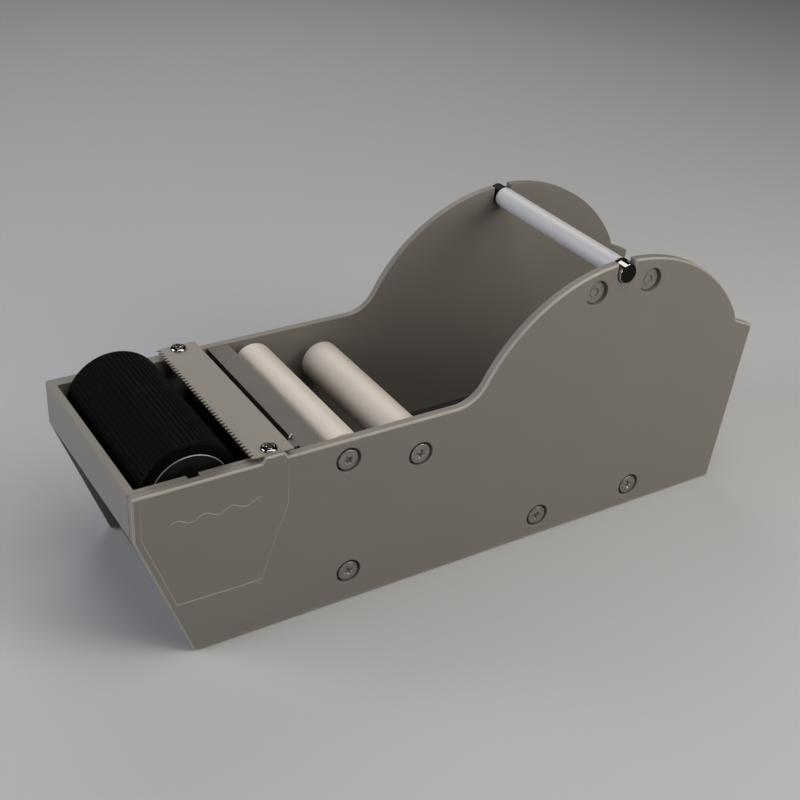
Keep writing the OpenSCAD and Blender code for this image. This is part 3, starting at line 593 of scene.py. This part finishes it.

# Bright chrome plating: a mirror with a trace of haze. The cross recesses are coloured near-black as painted
# shade.
chrome = new_material("bright_chrome_plating", "#b0b0b0", 0.09, 1.0)[0]
recess_painted_shade = new_material("painted_shade_in_recess", "#181716", 0.6)[0]
blade_screw_low, blade_screw_high = bench_box("blade_screws")
blade_top = bench_box("tear_blade")[1][2]
blade_screw_x = (blade_screw_low[0] + blade_screw_high[0]) / 2
cad_pan_r = 4
blade_screw_y = (blade_screw_high[1] - blade_screw_low[1]) / 2 - cad_pan_r
pan_r, pan_h, pan_dome, pan_edge = 4.3, blade_screw_high[2] - blade_top, 0.7, 1.3
blade_shank_r, blade_shank_l, pan_turn = 1.95, 7.1, 0.45
pan_cross = (0.9, 2.6, 1.2, 0.4)
pan_heads = [screw([blade_screw_x, side * blade_screw_y, blade_top], [0, 0, 1], pan_r, pan_h - pan_dome,
                   pan_dome, pan_edge, blade_shank_r, blade_shank_l, pan_cross, pan_turn)
             for side in (-1, 1)]
# The faces of the cross recesses take the painted shade.
piece("blade_screws_pan_head", pan_heads, [chrome, recess_painted_shade], "frame", "blade_screws", 50)

# Tape guide: a bridge of painted sheet behind the slot, and a steel wire along the slot that keeps
# the tape down, its near end bent up onto the edge of the bridge.
# Sheet metal under an even, satin coat of grey paint.
painted = moulded("grey_painted_sheet", "#4d4a43", "#54504a", 40, 0.5, 0.015, 0.42)
round_edges(cad_copy("guide_plate", "guide_plate_painted", painted, "frame"), 0.3)

# Drawn steel wire and rod: bright, and even all over.
drawn_steel = new_material("drawn_bright_steel", "#b9b8b4", 0.28, 1.0)[0]
wire_low, wire_high = bench_box("guard_wire")
wire_r, wire_bend_r, wire_leg = 0.8, 2.4, 3.5
wire_lean = np.array([math.cos(math.radians(45)), 0, math.sin(math.radians(45))])
wire_corner = wire_low + wire_r
bend = np.radians(np.linspace(0, 90, 9))[:, None]
wire_path = np.vstack([
    [wire_corner + [0, wire_high[1] - wire_corner[1], 0]],
    wire_corner + wire_bend_r * ((1 - np.sin(bend)) * [0, 1, 0] + (1 - np.cos(bend)) * wire_lean),
    [wire_corner + (wire_bend_r + wire_leg) * wire_lean],
])


def tube(path, radius, sides=16):
    """A round wire along a path in one plane: at each point a circle across the path's direction,
    from the plane's normal and the direction's own normal in the plane; both ends are closed."""
    way = np.gradient(path, axis=0)
    way /= np.linalg.norm(way, axis=1)[:, None]
    plane = np.cross(path[1] - path[0], path[-1] - path[-2])
    plane /= np.linalg.norm(plane)
    sideways = np.cross(way, plane)[[0, *range(len(path)), -1]]
    centres = path[[0, *range(len(path)), -1]]
    radii = np.concatenate([[0], np.full(len(path), radius), [0]])
    angles = np.arange(sides) * 2 * math.pi / sides
    ring = np.cos(angles)[None, :, None] * sideways[:, None] + np.sin(angles)[None, :, None] * plane
    return (centres[:, None] + radii[:, None, None] * ring).reshape(-1, 3), grid_faces(len(centres), sides)


piece("guard_wire_bent", [tube(wire_path, wire_r)], drawn_steel, "frame", "guard_wire", 50)

# Guide rollers: tubes of off-white plastic on flanged bushes, which turn on fixed steel axles that
# the side screws hold; a spacer at the far end and a thin washer at the near one keep them clear.
# Acetal tube, turned to size: off-white and satin.
roller_plastic = moulded("turned_acetal_off_white", "#cec6bd", "#d5cdc4", 30, 0.5, 0.01, 0.42)
front_guide_low, front_guide_high = bench_box("front_guide_roller")
guide_r, guide_wall = (front_guide_high[2] - front_guide_low[2]) / 2, 2
guide_ends = (front_guide_low[1], front_guide_high[1])
bush_l, flange_t = 12, bench_box("front_roller_bushes")[1][1] - guide_ends[1]
axle_r, spacer_r, axle_hole_r, axle_hole_l = 5, 7, 2.55, 13.5
plug_r, flange_r, bore_r = guide_r - guide_wall - FIT, guide_r - guide_wall / 2, axle_r + FIT
ACROSS = [0, 1, 0]


def closed_ring(corners, radii):
    """The rounded profile of a ring, its last point the same as its first."""
    path = rounded(corners, radii)
    return np.vstack([path, path[:1]])


def tube_ring(outer_r, inner_r, start, end, edge):
    """Profile of a tube between two ways along its axis, all four edges rounded."""
    return closed_ring([[inner_r, start], [outer_r, start], [outer_r, end], [inner_r, end]],
                       [edge / 3, edge, edge, edge / 3])


guide_tube = tube_ring(guide_r, guide_r - guide_wall, *guide_ends, 0.6)
bush = closed_ring([[bore_r, -bush_l], [plug_r, -bush_l], [plug_r, 0], [flange_r, 0], [flange_r, flange_t],
                    [bore_r, flange_t]], [0.2, 0.5, 0, 0, 0.3, 0.3])
# The floors of the axles' tapped holes end this near to the axis.
hole_end, floor_r = inner_half - axle_hole_l, 0.001
guide_axle = rounded([[floor_r, -hole_end], [axle_hole_r, -hole_end], [axle_hole_r, -inner_half],
                      [axle_r, -inner_half], [axle_r, inner_half], [axle_hole_r, inner_half],
                      [axle_hole_r, hole_end], [floor_r, hole_end]],
                     [0, 0, 0.1, 0.3, 0.3, 0.1, 0, 0], closed=False)
for label, (x, z) in [("front", front_guide_at), ("rear", rear_guide_at)]:
    body = f"{label}_guide"
    piece(f"{label}_guide_tube", [turned(guide_tube, [x, 0, z], ACROSS)], roller_plastic, body,
          f"{label}_guide_roller")
    bushes = [turned(bush * [1, side], [x, end, z], ACROSS) for side, end in zip((-1, 1), guide_ends)]
    piece(f"{label}_bushes_moulded", bushes, roller_plastic, body, f"{label}_roller_bushes")
    piece(f"{label}_axle_drawn", [turned(guide_axle, [x, 0, z], ACROSS, 64)], drawn_steel, "frame",
          f"{label}_guide_axle")
for node_name, material, slot, edge in [("axle_spacers", roller_plastic, "roller_white", 0.4),
                                        ("axle_washers", drawn_steel, "axle_steel", 0.15)]:
    ring_low, ring_high = bench_box(node_name)
    ring = tube_ring(spacer_r, bore_r, ring_low[1], ring_high[1], edge)
    ring_parts = [turned(ring, [x, 0, z], ACROSS, 64) for x, z in (front_guide_at, rear_guide_at)]
    piece(f"{node_name}_turned", ring_parts, material, "frame", node_name)

# Water roller: a sleeve of black rubber with ribs along it, pulled over a core tube, between two
# turned end discs that run on a steel axle. The axle only lies in the notches of the tank.
cap_low, cap_high = bench_box("roller_end_caps")
axle_low, axle_high = bench_box("roller_axle")
roller_x, roller_z = side_view_middle("roller_axle")
roller_at = [roller_x, 0, roller_z]
rubber_r, rubber_half = 26.5, bench_box("roller_rubber")[1][1]
ribs, rib_depth, rib_run, rubber_end_r = 60, 0.8, 3.0, 1.2
core_r, core_wall, cap_r = 20, 2, (cap_high[2] - cap_low[2]) / 2
roller_axle_r = (axle_high[2] - axle_low[2]) / 2


def ribbed_sleeve(points_per_rib=12):
    """The rubber: its radius falls by the ribs' depth between crests, as a smoothed square wave of
    the angle. At each end the ribs die out over rib_run, as half a cosine wave, and a quarter round
    draws the end in; the bore closes it."""
    angles = np.arange(ribs * points_per_rib) * 2 * math.pi / (ribs * points_per_rib)
    groove = rib_depth * (0.5 - 0.5 * np.tanh(2.4 * np.cos(ribs * angles) + 0.6) / math.tanh(3.0))
    ends = [(back, deep, 0.0) for back, deep in quarter_round(rubber_end_r)]
    ends += [(0.0, rubber_end_r + way * rib_run, 0.5 - 0.5 * math.cos(math.pi * way))
             for way in np.linspace(0.2, 1, 5)]
    rows = [(rubber_r - groove * share - back, deep - rubber_half) for back, deep, share in ends]
    rows += [(rubber_r - groove * share - back, rubber_half - deep) for back, deep, share in ends[::-1]]
    rows += [(core_r + FIT, rubber_half), (core_r + FIT, -rubber_half), rows[0]]
    loops = [np.column_stack([radius * np.cos(angles), np.full(len(angles), y), radius * np.sin(angles)])
             for radius, y in rows]
    return np.vstack(loops) + roller_at, grid_faces(len(rows), len(angles))


# Natural rubber from an extruder, black with soot: matt, its crests a little polished by the tape.
ribbed_rubber, rubber_tree, rubber_shader = new_material("extruded_black_rubber", "#050505", 0.5,
                                                         Specular_IOR_Level=0.05)
rubber_place = node(rubber_tree, "TexCoord").outputs["Object"]
speck = node(rubber_tree, "TexNoise", {"Vector": rubber_place, "Scale": 1 / (0.7 * MM), "Detail": 3.0})
rubber_polish = node(rubber_tree, "MapRange", {"Value": speck.outputs["Fac"], "From Min": 0.35,
                                               "From Max": 0.65, "To Min": 0.45, "To Max": 0.65})
rubber_tree.links.new(rubber_polish.outputs["Result"], rubber_shader.inputs["Roughness"])
rubber_bump = node(rubber_tree, "Bump", {"Height": speck.outputs["Fac"], "Strength": 0.5,
                                         "Distance": 0.06 * MM})
rubber_tree.links.new(rubber_bump.outputs["Normal"], rubber_shader.inputs["Normal"])
piece("roller_rubber_ribbed", [ribbed_sleeve()], ribbed_rubber, "water_roller",
      "roller_rubber", 60)

# Black acetal end discs; the chamfer round each outer face carries a pale half-metal colour as a painted
# highlight.
hub_plastic = moulded("turned_black_acetal", "#0f0f10", "#161616", 15, 0.4, 0.01, 0.35,
                      Specular_IOR_Level=0.15)
chamfer_highlight = new_material("painted_highlight_on_chamfer", "#8a8884", 0.45, 0.6)[0]
core = tube_ring(core_r, core_r - core_wall, -rubber_half, rubber_half, 0.3)
piece("roller_core_tube", [turned(core, roller_at, ACROSS)], hub_plastic, "water_roller",
      "roller_core")
cap_bore_r, cap_plug_r, cap_plug_l = roller_axle_r + FIT, core_r - core_wall - FIT, 9
cap_out, cap_edge = cap_high[1], 0.35
cap_profile = [[cap_bore_r, rubber_half - cap_plug_l], [cap_plug_r, rubber_half - cap_plug_l],
               [cap_plug_r, rubber_half], [cap_r, rubber_half], [cap_r, cap_out - cap_edge],
               [cap_r - cap_edge, cap_out], [cap_bore_r, cap_out], [cap_bore_r, rubber_half - cap_plug_l]]


def end_pair(profile, at, near_bright, far_bright, sides=96):
    """A turned piece at the near end and its mirror image at the far end. The second material is on
    the named bands of the profile, counted from its first point."""
    parts = []
    for side, bright in ((-1, near_bright), (1, far_bright)):
        points, faces = turned(np.array(profile) * [1, side], at, ACROSS, sides)
        band = np.repeat(np.arange(len(profile) - 1), sides)
        parts.append((points, faces, np.isin(band, bright).astype(int)))
    return parts


# Band 4 of the profile, the outer chamfer, takes the painted highlight.
piece("roller_end_discs", end_pair(cap_profile, roller_at, [4], [4]), [hub_plastic, chamfer_highlight],
      "water_roller", "roller_end_caps")
axle_end = axle_high[1]
roller_axle = rounded([[0, -axle_end], [roller_axle_r, -axle_end], [roller_axle_r, axle_end], [0, axle_end]],
                      [0, 0.5, 0.5, 0], closed=False)
piece("roller_axle_drawn", [turned(roller_axle, roller_at, ACROSS, 64)], drawn_steel, "water_roller_axle",
      "roller_axle")

# Spindle: a steel rod with a black cap pressed on each end, whose journals lie in the open slots of
# the arches, and on the rod a white plastic tube that the tape roll hangs on.
rod_low, rod_high = bench_box("spindle_rod")
sleeve_low, sleeve_high = bench_box("spindle_sleeve")
rod_r, rod_half = (rod_high[0] - rod_low[0]) / 2, rod_high[1]
spindle_at = [spindle_x, 0, spindle_z]
rod_profile = rounded([[0, -rod_half], [rod_r, -rod_half], [rod_r, rod_half], [0, rod_half]],
                      [0, 0.4, 0.4, 0], closed=False)
piece("spindle_rod_turned", [turned(rod_profile, spindle_at, ACROSS, 64)], drawn_steel, "spindle",
      "spindle_rod")
spindle_end, end_gap = bench_box("spindle_end_caps")[1][1], 0.3
collar_r, collar_t, collar_far, journal_edge = 6.2, 1, inner_half - end_gap, 0.25
cap_bottom, socket_r = rod_half + end_gap, rod_r + FIT
journal = [[0, cap_bottom], [socket_r, cap_bottom], [socket_r, collar_far - collar_t],
           [collar_r, collar_far - collar_t], [collar_r, collar_far], [journal_r, collar_far],
           [journal_r, spindle_end - journal_edge], [journal_r - journal_edge, spindle_end],
           [0, spindle_end]]
# Black nylon, moulded. The chamfer of each cap's outer face is given chrome as a painted highlight, and so
# is the side of the near journal only, as a painted reflection.
black_nylon = moulded("moulded_black_nylon", "#080808", "#0c0c0c", 10, 0.4, 0.01, 0.45,
                      Specular_IOR_Level=0.1)
# Bands 5 and 6 of the profile are the journal's side and its chamfer.
piece("spindle_caps_moulded", end_pair(journal, spindle_at, [5, 6], [6], 64), [black_nylon, chrome],
      "spindle", "spindle_end_caps")
sleeve_ring = tube_ring((sleeve_high[0] - sleeve_low[0]) / 2, socket_r, sleeve_low[1], sleeve_high[1], 0.5)
# Polypropylene tube as it leaves the die: white and smooth.
sleeve_plastic = moulded("extruded_white_polypropylene", "#bbbdc1", "#c2c4c7", 30, 0.5, 0.008, 0.38)
piece("spindle_sleeve_extruded", [turned(sleeve_ring, spindle_at, ACROSS)], sleeve_plastic, "sleeve",
      "spindle_sleeve")

# Side screws and plugs: five screws a side with flat heads in their seats, which hold the axles, the
# cross bar and the ballast, and two plugs a side that close the spare holes by the spindle.
side_head_r, side_head_h, side_dome, side_edge = 5.7, 3.5, 0.2, 0.4
side_shank_r, side_bite = 2.45, 12
side_cross = (0.8, 2.6, 1.6, 0.4)
seat_y = half_w - seat_depth
side_screw_parts = []
for side in (-1, 1):
    for i, (x, z) in enumerate(side_screw_places):
        # Each screw has stopped at another angle.
        stop = 0.4 + 0.9 * i + side
        side_screw_parts.append(screw([x, side * seat_y, z], [0, side, 0], side_head_r,
                                      side_head_h - side_dome, side_dome, side_edge, side_shank_r,
                                      seat_y - inner_half + side_bite, side_cross, stop)[:2])
piece("side_screws_flat_head", side_screw_parts, nickel, "frame", "side_screws")

plug_seat_y, plug_head_h, plug_shank_r = half_w - plug_seat_depth, 0.25, 2.3
dimple_r, dimple_depth = 2.3, 0.5
plug_top = plug_seat_y + plug_head_h
plug_profile = rounded([[0, inner_half], [plug_shank_r, inner_half], [plug_shank_r, plug_seat_y],
                        [plug_head_r, plug_seat_y], [plug_head_r, plug_top], [dimple_r, plug_top],
                        [dimple_r, plug_top - dimple_depth], [0, plug_top - dimple_depth]],
                       [0, 0.2, 0, 0, 0.1, 0.1, 0.1, 0], closed=False)
plug_parts = [turned(plug_profile * [1, side], [x, 0, z], ACROSS, 64) for side in (-1, 1)
              for x, z in plug_places]
piece("blanking_plugs_moulded", plug_parts, body_abs, "frame", "blanking_plugs")

# Studio: a plain pale floor, large soft lamps above and at the sides, and the camera where the
# photograph was taken from.
floor_half = 6.0
floor_mesh = bpy.data.meshes.new("floor")
floor_corners = [(x * floor_half, y * floor_half, 0) for x, y in ((-1, -1), (1, -1), (1, 1), (-1, 1))]
floor_mesh.from_pydata(floor_corners, [], [(0, 1, 2, 3)])
floor = bpy.data.objects.new("floor", floor_mesh)
bpy.context.scene.collection.objects.link(floor)
floor_mesh.materials.append(new_material("pale_studio_paper", "#b6b9bc", 0.9)[0])

world = bpy.data.worlds.new("studio")
bpy.context.scene.world = world
world.use_nodes = True
background = world.node_tree.nodes["Background"]
background.inputs["Color"].default_value = linear("#d4d7da")
background.inputs["Strength"].default_value = 0.02


lamp_target = Vector((0, 0, 0.08))


def softbox(name, place, size, power, colour):
    """A square lamp at a place, turned towards the middle of the object."""
    lamp = bpy.data.lights.new(name, "AREA")
    lamp.size, lamp.energy, lamp.color = size, power, linear(colour)[:3]
    holder = bpy.data.objects.new(name, lamp)
    holder.location = place
    holder.rotation_mode = "QUATERNION"
    holder.rotation_quaternion = (lamp_target - Vector(place)).to_track_quat("-Z", "Y")
    bpy.context.scene.collection.objects.link(holder)


softbox("top_softbox", (0.1, -0.4, 1.25), 1.0, 7.6, "#fffaf4")
softbox("right_softbox", (0.6, -0.75, 0.6), 0.6, 5.9, "#fff8ee")
softbox("front_softbox", (-1.2, 0.4, 0.55), 0.8, 10, "#f6f8ff")
softbox("low_front_softbox", (-0.9, -1.0, 0.45), 0.4, 1.1, "#fffaf4")
softbox("rear_softbox", (0.3, 1.0, 1.0), 0.8, 4, "#fffaf4")

# The camera's turn to the side, its tilt and its roll, in degrees, and its place in metres.
camera_turn, camera_tilt, camera_roll = math.radians(-33.35), math.radians(31.22), math.radians(3.73)
camera_place = (-0.35842, -0.52612, 0.45670)
back = Vector((math.sin(camera_turn) * math.cos(camera_tilt), -math.cos(camera_turn) * math.cos(camera_tilt),
               math.sin(camera_tilt)))
level_right = Vector((math.cos(camera_turn), math.sin(camera_turn), 0))
level_up = back.cross(level_right)
right = level_right * math.cos(camera_roll) + level_up * math.sin(camera_roll)
up = level_up * math.cos(camera_roll) - level_right * math.sin(camera_roll)
camera_data = bpy.data.cameras.new("camera")
camera_data.sensor_width, camera_data.lens = 36, 58.93
camera = bpy.data.objects.new("camera", camera_data)
camera.matrix_world = Matrix.Translation(camera_place) @ Matrix((right, up, back)).transposed().to_4x4()
bpy.context.scene.collection.objects.link(camera)
bpy.context.scene.camera = camera
bpy.context.scene.view_settings.view_transform = "Standard"

bpy.context.view_layer.update()
